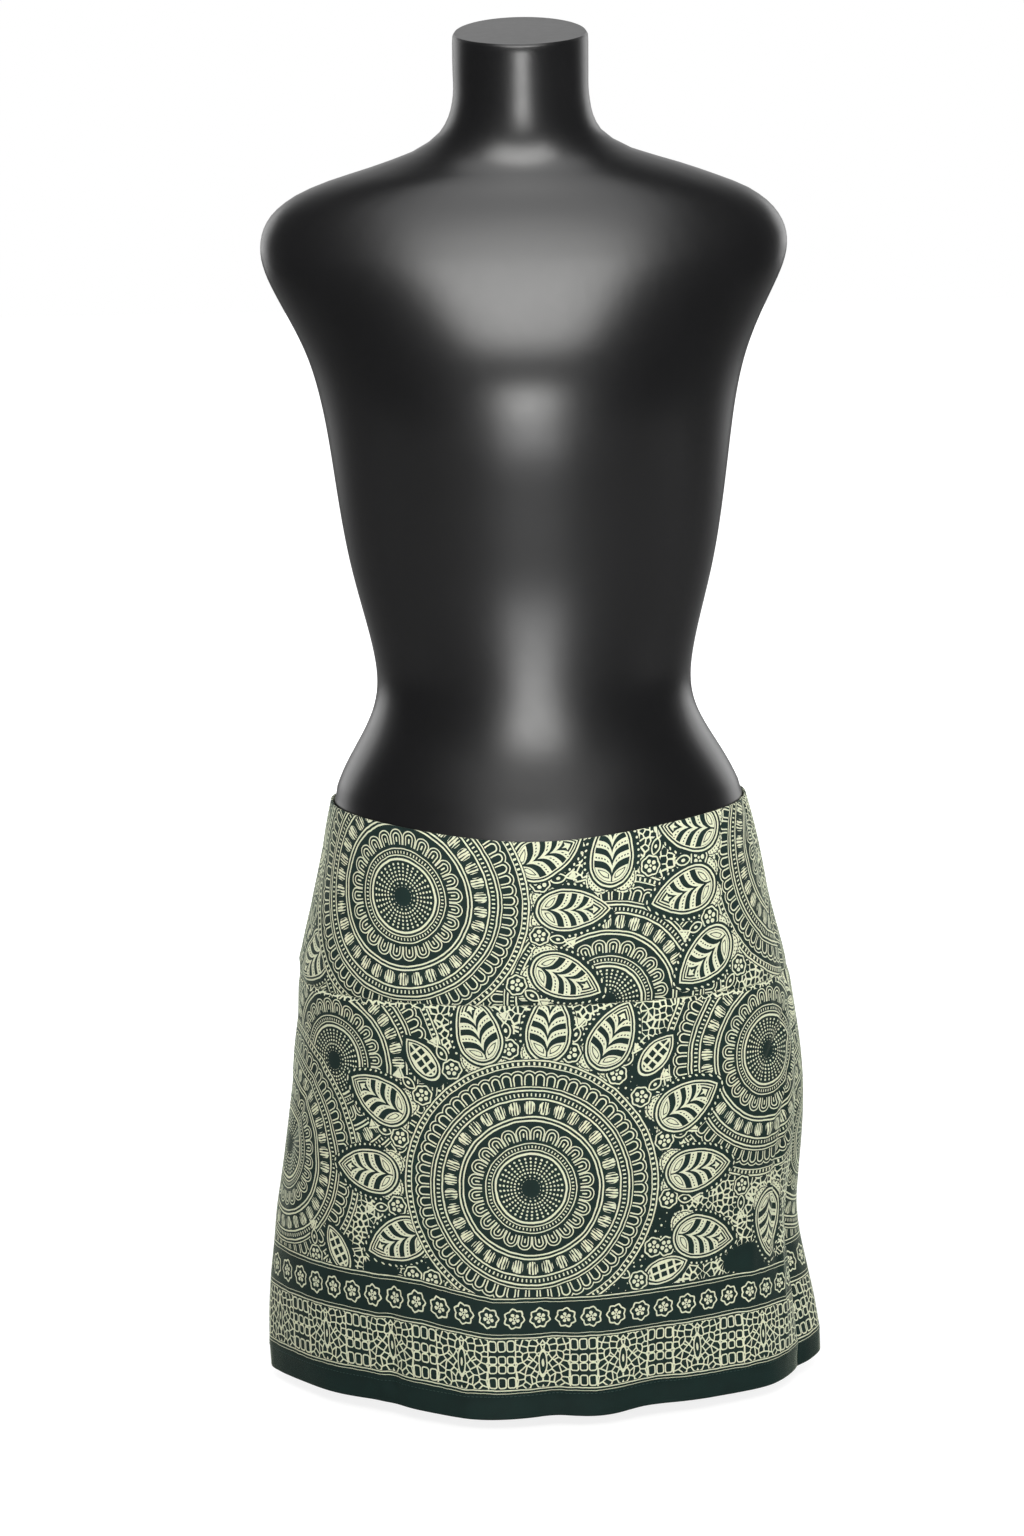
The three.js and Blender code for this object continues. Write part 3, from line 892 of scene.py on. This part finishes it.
def bakeChart(rows, columns, rim, loops, layout):  # both sides and the four rims, one above another
    spread = np.stack(np.meshgrid(np.linspace(*layout["span"], columns), np.linspace(0, 1, rows)), -1)
    sides = [spread * (1, tall) + (0, low) for low, tall in (layout["outside"], layout["under"])]
    chart = np.concatenate([side.reshape(-1, 2) for side in sides])[loops]
    start = len(loops) - 4 * sum(len(strip) for strip in rim)
    low, tall = layout["rims"]
    for strip in rim:
        across = np.linspace(*layout["span"], len(strip) + 1)
        a, b = across[:-1], across[1:]
        places = ((b, low), (a, low), (a, low + tall), (b, low + tall))
        corners = [np.stack([x, np.full(len(strip), y)], -1) for x, y in places]
        chart[start:start + len(strip) * 4] = np.stack(corners, 1).reshape(-1, 2)
        start += len(strip) * 4
        low += layout["rimStep"]
    return chart


def shellMesh(name, points, normals, chart, thickness, material):
    rows, columns = points.shape[:2]
    inner = points - normals * thickness
    corners = np.concatenate([points.reshape(-1, 3), inner.reshape(-1, 3)]) * mm
    half = rows * columns
    index = np.arange(half).reshape(rows, columns)
    front = np.stack([index[:-1, :-1], index[:-1, 1:], index[1:, 1:], index[1:, :-1]], -1).reshape(-1, 4)
    rim = []
    for edge in (index[0], index[-1][::-1], index[:, 0][::-1], index[:, -1]):
        a, b = edge[:-1], edge[1:]
        rim.append(np.stack([b, a, a + half, b + half], -1))
    faces = np.concatenate([front, front[:, ::-1] + half, *rim])
    mesh = bpy.data.meshes.new(name)
    mesh.from_pydata(corners.tolist(), [], faces.tolist())
    loops = np.empty(len(mesh.loops), dtype=np.int64)
    mesh.loops.foreach_get("vertex_index", loops)
    charts = {
        "clothUV": (np.concatenate([chart.reshape(-1, 2)] * 2) * mm)[loops],
        "OFBake": bakeChart(rows, columns, rim, loops, bakeLayout),
    }
    for chartName, places in charts.items():
        mesh.uv_layers.new(name=chartName).data.foreach_set("uv", places.ravel().astype(np.float32))
    side = mesh.attributes.new("wrongSide", "FLOAT", "POINT")
    side.data.foreach_set("value", np.repeat([0.0, 1.0], half).astype(np.float32))
    smoothFaces(mesh)
    mesh.materials.append(material)
    mesh.update()
    return addObject(name, mesh)


stitching = {
    "spacing": 3.1,
    "length": 2.3,
    "thread": 0.34,
    "height": 16.2,  # above the hem, just inside the raw edge of the turn
    "colour": (0.012, 0.034, 0.029),
    "twistHighlight": 1.7,  # how much lighter the painted highlight on the top of a twist is
    "lean": 0.05,  # how far a stitch may turn off the line
    "seed": 11,
    "lift": 0.2,  # of the line off the cloth, as a share of the thread's width
    "endGap": 4,  # columns left free at a panel's sides
}


def threadMaterial(look):
    material, tree, shader = newMaterial("hemThread")
    chart = addNode(tree, "ShaderNodeTexCoord")
    twist = noiseAt(tree, chart.outputs["Object"], 1800.0, 1.0)
    # painted highlight: random twist noise lightens the thread's colour, standing in for light on the tops of its
    # twist
    twistHighlight = tuple(c * look["twistHighlight"] for c in look["colour"])
    tone = choose(tree, twist, (*look["colour"], 1), (*twistHighlight, 1), "RGBA")
    plugAll(tree, shader, {"Base Color": tone, "Roughness": twist * 0.3 + 0.4})
    return material


def stitchTree(look):  # lockstitches laid end to end along whatever line of edges comes in
    tree = bpy.data.node_groups.new("hemStitches", "GeometryNodeTree")
    for name, kind in (("Line", "Geometry"), ("Spacing", "Float"), ("Length", "Float"), ("Thread", "Float"),
                       ("Material", "Material")):
        tree.interface.new_socket(name, in_out="INPUT", socket_type="NodeSocket" + kind)
    tree.interface.new_socket("Stitches", in_out="OUTPUT", socket_type="NodeSocketGeometry")
    given, out = tree.nodes.new("NodeGroupInput").outputs, tree.nodes.new("NodeGroupOutput")
    curve = addNode(tree, "GeometryNodeMeshToCurve", {"Mesh": given["Line"]})
    spaced = addNode(tree, "GeometryNodeResampleCurve", {"Curve": curve.outputs[0], "Length": given["Spacing"]},
                     mode="LENGTH")
    ball = addNode(tree, "GeometryNodeMeshIcoSphere", {"Radius": 0.5, "Subdivisions": 2})
    along = addNode(tree, "GeometryNodeInputTangent")
    lean = addNode(tree, "FunctionNodeRandomValue", {"Seed": look["seed"]}, data_type="FLOAT_VECTOR")
    for socket, reach in zip(lean.inputs, (-look["lean"], look["lean"])):
        socket.default_value = (reach, reach, reach)
    aim = vectorMath(tree, "ADD", along.outputs[0], lean.outputs[0])
    turn = addNode(tree, "FunctionNodeAlignEulerToVector", {"Vector": aim}, axis="X")
    size = addNode(tree, "ShaderNodeCombineXYZ", {"X": given["Length"], "Y": given["Thread"], "Z": given["Thread"]})
    copies = addNode(tree, "GeometryNodeInstanceOnPoints", {"Points": spaced.outputs[0], "Instance": ball.outputs[0],
                     "Rotation": turn.outputs[0], "Scale": size.outputs[0]})
    real = addNode(tree, "GeometryNodeRealizeInstances", {"Geometry": copies.outputs[0]})
    dressed = addNode(tree, "GeometryNodeSetMaterial", {"Geometry": real.outputs[0], "Material": given["Material"]})
    plug(tree, dressed.outputs[0], out.inputs[0])
    return tree


def stitchLine(name, points, tree, look, material):
    mesh = bpy.data.meshes.new(name)
    edges = [(i, i + 1) for i in range(len(points) - 1)]
    mesh.from_pydata((points * mm).tolist(), edges, [])
    piece = addObject(name, mesh)
    nodes = piece.modifiers.new("stitches", "NODES")
    nodes.node_group = tree
    values = {"Spacing": look["spacing"] * mm, "Length": look["length"] * mm, "Thread": look["thread"] * mm,
              "Material": material}
    for item in tree.interface.items_tree:
        if item.in_out == "INPUT" and item.name in values:
            nodes[item.identifier] = values[item.name]
    result = bpy.data.meshes.new_from_object(piece.evaluated_get(bpy.context.evaluated_depsgraph_get()))
    piece.modifiers.clear()
    piece.data = result
    smoothFaces(result)
    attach(piece, "root")
    return piece


hemStitches = stitchTree(stitching)
hemThread = threadMaterial(stitching)


def plainWall(name, panel, look):  # the CAD wall without its dips and hem ridge, and the levels of its rows
    grid = wallGrid(name, panel["from"], look["cadColumns"])
    lift = np.zeros(grid.shape[:2])
    lift[:, [0, -1]] = look["cadDip"]
    lift[-1 if panel["hem"] else 0] = look["cadDip"]
    if panel["hem"]:
        lift[2] -= look["cadRidge"]
        lift[-2] = np.maximum(lift[-2], look["cadDip"] * math.exp(-1))
    return grid + unitNormals(grid) * lift[..., None], grid[..., 2].mean(axis=1)


def walkAcross(span, start, end, step):  # from one turned edge to the other: (place, depth under the surface)
    (startRadius, startSteps), (endRadius, endSteps) = start, end
    between = [(p, 0.0) for p in easedPlaces(span, step) if startRadius < p < span - endRadius]
    return startSteps[::-1] + between + [(span - s, d) for s, d in endSteps]


def clothRelief(name, panel, look, u, v, fromSeam, fromSide):  # puckered seams, creases and ripples, outwards
    # gathers along a seam are never even: waves of three lengths that don't fall together
    pucker = 1 + 0.45 * np.sin(u / 4.1 + 1.3 * np.sin(u / 17)) * np.sin(u / 9.7)
    sidePucker = 1 + 0.5 * np.sin(v / 4.7 + 1.1 * np.sin(v / 21)) * np.sin(v / 11.3)
    relief = -look["seamDip"] * np.exp(-(fromSeam / look["seamReach"]) ** 2) * pucker
    relief -= look["seamDip"] * np.exp(-(fromSide / look["seamReach"]) ** 2) * sidePucker
    relief += creaseHeight(u, v, creases[name], creaseEnds) * look["creaseShare"]
    calm = np.clip(fromSeam / 30, 0.25, 1) * np.clip(fromSide / 25, 0.3, 1)
    return relief + rippleHeight(u, v, ripples) * calm * (1.0 if panel["hem"] else look["yokeRipples"])


def clothPanel(name, panel, look):
    grid, levels = plainWall(name, panel, look)
    columns = look["cadColumns"]
    pitch = np.linalg.norm(np.diff(grid.mean(axis=0), axis=0), axis=1).mean()
    width, low, tall = pitch * columns, levels[0], levels[-1] - levels[0]

    seam = (look["seamRoll"], edgeSteps(look["seamRoll"], look["seamTurn"], True, 2))
    if panel["hem"]:
        bottom, top = (look["hemRadius"], edgeSteps(look["hemRadius"], look["hemTurn"], False, 7)), seam
    else:
        bottom, top = seam, (look["foldRadius"], edgeSteps(look["foldRadius"], look["facing"], False, 5))
    columnWalk = np.array(walkAcross(width, seam, seam, width / look["columns"]))
    rowWalk = np.array(walkAcross(tall, bottom, top, look["rowStep"]))
    columnAt, rowAt = columnWalk[:, 0] / pitch, rowWalk[:, 0] + low
    sunk = rowWalk[:, 1][:, None] + columnWalk[:, 1][None]

    def surface(columnPlaces, rowPlaces):
        acrossWeights = smoothWeights(np.arange(columns + 1), columnPlaces)
        upWeights = smoothWeights(levels, rowPlaces)
        return np.einsum("ri,ijk,cj->rck", upWeights, grid, acrossWeights)

    tangent = surface(columnAt + 0.02, rowAt) - surface(columnAt - 0.02, rowAt)
    rise = surface(columnAt, rowAt + 0.3) - surface(columnAt, rowAt - 0.3)
    out = np.cross(tangent, rise)
    out /= np.linalg.norm(out, axis=2, keepdims=True)

    fineColumns = np.linspace(0, columns, columns * 8 + 1)
    lengths = np.linalg.norm(np.diff(surface(fineColumns, rowAt), axis=1), axis=2)
    arc = np.concatenate([np.zeros((len(rowAt), 1)), np.cumsum(lengths, axis=1)], axis=1)
    middle = look["middleColumn"]
    u = np.array([np.interp(columnAt, fineColumns, line) - np.interp(middle, fineColumns, line) for line in arc])
    v = np.broadcast_to((rowAt - low)[:, None], u.shape).copy()

    fromSeam = np.abs(v - (tall if panel["hem"] else 0.0))
    fromSide = np.minimum(columnAt, columns - columnAt)[None] * pitch + 0 * v
    relief = clothRelief(name, panel, look, u, v, fromSeam, fromSide)
    flat = rowWalk[:, 1] == 0
    if panel["hem"]:  # the turned-up layer shows through as a soft ridge
        ridge = np.exp(-((v - look["hemTurn"] - 0.6) / 2.2) ** 2) * (0.45 + 0.18 * np.sin(u / 13 + np.sin(u / 29)))
        relief += ridge * flat[:, None]
    points = surface(columnAt, rowAt) + out * (relief - sunk)[..., None]

    steps = np.abs(np.diff(rowWalk, axis=0)).sum(axis=1)
    walk = np.concatenate([[0], np.cumsum(steps)])
    along = walk - walk[flat][0] + rowWalk[flat][0, 0]
    chart = np.stack([u, np.broadcast_to(along[:, None], u.shape)], -1) + panel["artShift"]
    normals = unitNormals(points)
    piece = shellMesh(name + "_cloth", points, normals, chart, look["thickness"], panel["art"])
    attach(piece, "root")
    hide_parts(name)
    if panel["hem"]:
        row = np.argmax(flat & (rowWalk[:, 0] > stitching["height"]))
        free = slice(stitching["endGap"], -stitching["endGap"])
        seat = points[row, free] + normals[row, free] * stitching["thread"] * stitching["lift"]
        stitchLine(name + "_stitches", seat, hemStitches, stitching, hemThread)
    size = [float(arc[:, -1].max()) * mm, float(walk[-1]) * mm]
    area = float((lengths.sum(axis=1)[1:] * steps).sum()) * mm * mm
    print(name, "cut", [round(s, 3) for s in size], "area", round(area, 4))
    return piece, size, area


print("cloth")
clothPieces = {}
for panelName, panelLook in panels.items():
    clothPieces[panelName] = clothPanel(panelName, panelLook, cloth)


formShape = {
    "columns": 56,
    "around": 224,
    "rowStep": 4.6,
    "coreRadius": 12.0,  # CAD corners nearer the middle only close the ends
    # height, and depth in front of the middle
    "belly": [(431, 102.5), (447, 98.8), (463, 94.4), (485, 88.2), (505, 85.0), (530, 83.6), (560, 83.6),
              (585, 85.2), (610, 88.7), (640, 95.5)],
    "eased": (452, 840),  # belly and chest run smoothly from one level to the next here
    "easeEnds": (14, 60),  # how far up and down it fades
    "easings": 22,  # passes
    "edgeTurn": 24,  # a sharper edge than this stays sharp, in degrees
    "rimShare": 0.985,  # size of each ring that closes an end, against the end's own
    "coreShare": 0.5,
    "footShare": 0.9,
}


def formSkin(shape):  # rows of corners round the form, eased over belly and chest
    points = cadCorners("form_torso")
    ring = points[np.hypot(points[:, 0], points[:, 1]) >= shape["coreRadius"]]
    count = shape["columns"]
    index = roundIndex(ring, 0, count, 360) % count
    strips = [ring[index == i][np.argsort(ring[index == i][:, 2])] for i in range(count)]
    grid = np.array(strips).transpose(1, 0, 2)
    levels = grid[..., 2].mean(axis=1)
    wide = np.concatenate([grid[:, -3:], grid, grid[:, :3]], axis=1)
    turn = np.linspace(0, count, shape["around"], endpoint=False) + 3
    rows = [levels[0], levels[0] + 1, levels[0] + 2]
    for low, high in zip(levels[1:-2], levels[2:-1]):
        rows += list(np.linspace(low, high, max(1, round((high - low) / shape["rowStep"])), endpoint=False))
    rows += [levels[-2], levels[-2] + 0.7, levels[-2] + 1.4, levels[-1]]
    upWeights, roundWeights = smoothWeights(levels, rows), smoothWeights(np.arange(count + 6), turn)
    skin = np.einsum("ri,ijk,cj->rck", upWeights, wide, roundWeights)
    skin[0, :, 2] = 0.0

    heights = skin[..., 2].mean(axis=1)
    knots, depths = zip(*shape["belly"])
    belly = (heights > knots[0]) & (heights < knots[-1])
    wanted = smoothWeights(knots, heights[belly]) @ np.array(depths)
    stretch = wanted / -skin[belly, 0, 1] - 1
    around = np.maximum(-skin[belly][..., 1], 0) / np.hypot(skin[belly][..., 0], skin[belly][..., 1])
    skin[belly, :, 1] *= 1 + stretch[:, None] * around ** 2

    (low, high), (slowIn, slowOut) = shape["eased"], shape["easeEnds"]
    level = skin[:, :1, 2:]
    fade = np.clip((level - low) / slowIn, 0, 1) * np.clip((high - level) / slowOut, 0, 1)
    for _ in range(shape["easings"]):
        skin[1:-1] += (skin[:-2] + skin[2:] - 2 * skin[1:-1]) * 0.25 * fade[1:-1]
    return skin


def formPiece(shape, material):
    skin = formSkin(shape)
    corners = skin.reshape(-1, 3)
    n = shape["around"]
    last = len(corners) - n
    faces = []
    for r in range(len(skin) - 1):
        for i in range(n):
            a, b = r * n + i, r * n + (i + 1) % n
            faces.append((a, b, b + n, a + n))
    capMiddle = corners[last:].mean(axis=0)
    caps = [(corners[last:] - capMiddle) * share + capMiddle for share in (shape["rimShare"], shape["coreShare"])]
    corners = np.concatenate([corners, *caps, [capMiddle], corners[:n] * shape["footShare"], [[0, 0, 0]]])
    inner, core = last + n, last + 2 * n
    foot = core + n + 1
    for i in range(n):
        j = (i + 1) % n
        faces += [(last + i, last + j, inner + j, inner + i), (inner + i, inner + j, core + j, core + i)]
        faces += [(core + i, core + j, core + n), (j, i, foot + i, foot + j), (foot + j, foot + i, foot + n)]
    mesh = bpy.data.meshes.new("form")
    mesh.from_pydata((corners * mm).tolist(), [], faces)
    smoothFaces(mesh)
    mesh.materials.append(material)
    mesh.update()
    edges = bmesh.new()
    edges.from_mesh(mesh)
    for edge in edges.edges:
        if len(edge.link_faces) == 2 and edge.calc_face_angle(0) > math.radians(shape["edgeTurn"]):
            edge.smooth = False
    edges.to_mesh(mesh)
    edges.free()
    piece = addObject("dress_form", mesh)
    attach(piece, "root")
    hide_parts("form_torso")
    return piece


print("dress form")
dressForm = formPiece(formShape, formGloss)

for panelName, (piece, size, area) in clothPieces.items():
    min(area, size[0] * size[1])


studio = {
    "reach": 12.0,  # of the floor, from the middle out
    "floor": (0.22, 0.22, 0.22),
    "floorRoughness": 0.9,
    "floorGlow": 0.9,  # only what the camera sees of the floor is lifted to white
    "backdrop": 1.0,
    "dim": 0.08,  # the room in front and to the sides
    "bright": 0.75,  # the white wall behind
    "wall": (0.1, 0.75),  # how far back the room turns from dim to bright
    "warm": (1.0, 0.995, 0.98),
    "plain": (1.0, 1.0, 1.0),
    "lights": [  # name, place, aim, size across and up, power, colour
        ("front", (0.03, -3.5, 0.6), (0.02, 0.0, 0.55), (0.98, 1.1), 44, "warm"),
        ("upper", (0.0, -2.3, 2.7), (0.0, 0.0, 0.5), (2.0, 1.2), 71, "warm"),
        ("low", (0.03, -2.45, 0.03), (0.03, -2.45, 1.0), (0.6, 2.1), 26, "plain"),
        ("top", (0.0, -0.9, 2.9), (0.0, 0.0, 0.9), (1.8, 1.0), 14, "plain"),
        ("left", (-2.5, 2.6, 1.3), (0.0, 0.0, 0.5), (2.2, 2.5), 19, "plain"),
        ("right", (2.5, 2.6, 1.3), (0.0, 0.0, 0.5), (2.2, 2.5), 21, "plain"),
        ("fillLeft", (-2.4, -0.8, 0.7), (0.0, 0.0, 0.3), (1.0, 1.4), 9, "plain"),
        ("fillRight", (2.4, -0.8, 0.7), (0.0, 0.0, 0.3), (1.0, 1.4), 24, "plain"),
        ("fillBack", (0.3, 3.3, 1.2), (0.0, 0.0, 0.4), (1.6, 1.6), 48, "plain"),
    ],
}


def pointAt(thing, aim):
    thing.rotation_euler = (Vector(aim) - thing.location).to_track_quat("-Z", "Y").to_euler()


def makeFloor(setup):
    mesh = bpy.data.meshes.new("studioFloor")
    reach = setup["reach"]
    mesh.from_pydata([(x * reach, y * reach, 0) for x, y in ((-1, -1), (1, -1), (1, 1), (-1, 1))], [], [(0, 1, 2, 3)])
    material, tree, shader = newMaterial("paleFloor")
    rays = addNode(tree, "ShaderNodeLightPath")
    chart = addNode(tree, "ShaderNodeTexCoord")
    paintedShadowFalloff = (lengthOf(tree, chart.outputs["Object"]) - 0.4) * 0.25 & 0.3  # painted shade: the glow is lower near the form, a painted shadow pool round it, and brighter away from it
    plugAll(tree, shader, {
        "Base Color": (*setup["floor"], 1),
        "Roughness": setup["floorRoughness"],
        "Emission Color": (1, 1, 1, 1),
        "Emission Strength": Wire(tree, rays.outputs["Is Camera Ray"]) * (paintedShadowFalloff + setup["floorGlow"]),
    })
    mesh.materials.append(material)
    addObject("studio_floor", mesh)


def makeLights(setup):
    for name, place, aim, size, power, colour in setup["lights"]:
        data = bpy.data.lights.new(name, "AREA")
        data.shape = "RECTANGLE"
        data.size, data.size_y = size
        data.energy = power
        data.color = setup[colour]
        lamp = addObject(name + "_light", data)
        lamp.location = place
        pointAt(lamp, aim)
        lamp.visible_glossy = not name.startswith("fill")  # fills light the cloth without a mark on the gloss


def makeRoom(setup):
    world = bpy.data.worlds.new("softbox")
    world.use_nodes = True
    sky = world.node_tree
    chart = addNode(sky, "ShaderNodeTexCoord")
    _, depth = split(sky, chart.outputs["Generated"])
    near, far = setup["wall"]
    rise = addNode(sky, "ShaderNodeMapRange", {"Value": depth, "From Min": near, "From Max": far,
                   "To Min": setup["dim"], "To Max": setup["bright"]}, interpolation_type="SMOOTHSTEP")
    rays = addNode(sky, "ShaderNodeLightPath")
    strength = choose(sky, rays.outputs["Is Camera Ray"], rise.outputs[0], setup["backdrop"])
    plugAll(sky, sky.nodes["Background"], {"Strength": strength, "Color": (1, 1, 1, 1)})
    bpy.context.scene.world = world
    bpy.context.scene.view_settings.view_transform = "Standard"


view = {"place": (-0.016, -3.0, 1.0), "down": 10.15, "roll": -1.09, "lens": 96.9, "sensor": 36}


def makeCamera(setup):
    data = bpy.data.cameras.new("camera")
    data.lens = setup["lens"]
    data.sensor_width = setup["sensor"]
    camera = addObject("camera", data)
    tilt = Matrix.Rotation(math.radians(90 - setup["down"]), 4, "X")
    roll = Matrix.Rotation(math.radians(setup["roll"]), 4, "Z")
    camera.matrix_world = Matrix.Translation(setup["place"]) @ tilt @ roll
    bpy.context.scene.camera = camera


print("studio and camera")
makeFloor(studio)
makeLights(studio)
makeRoom(studio)
makeCamera(view)

print("done")
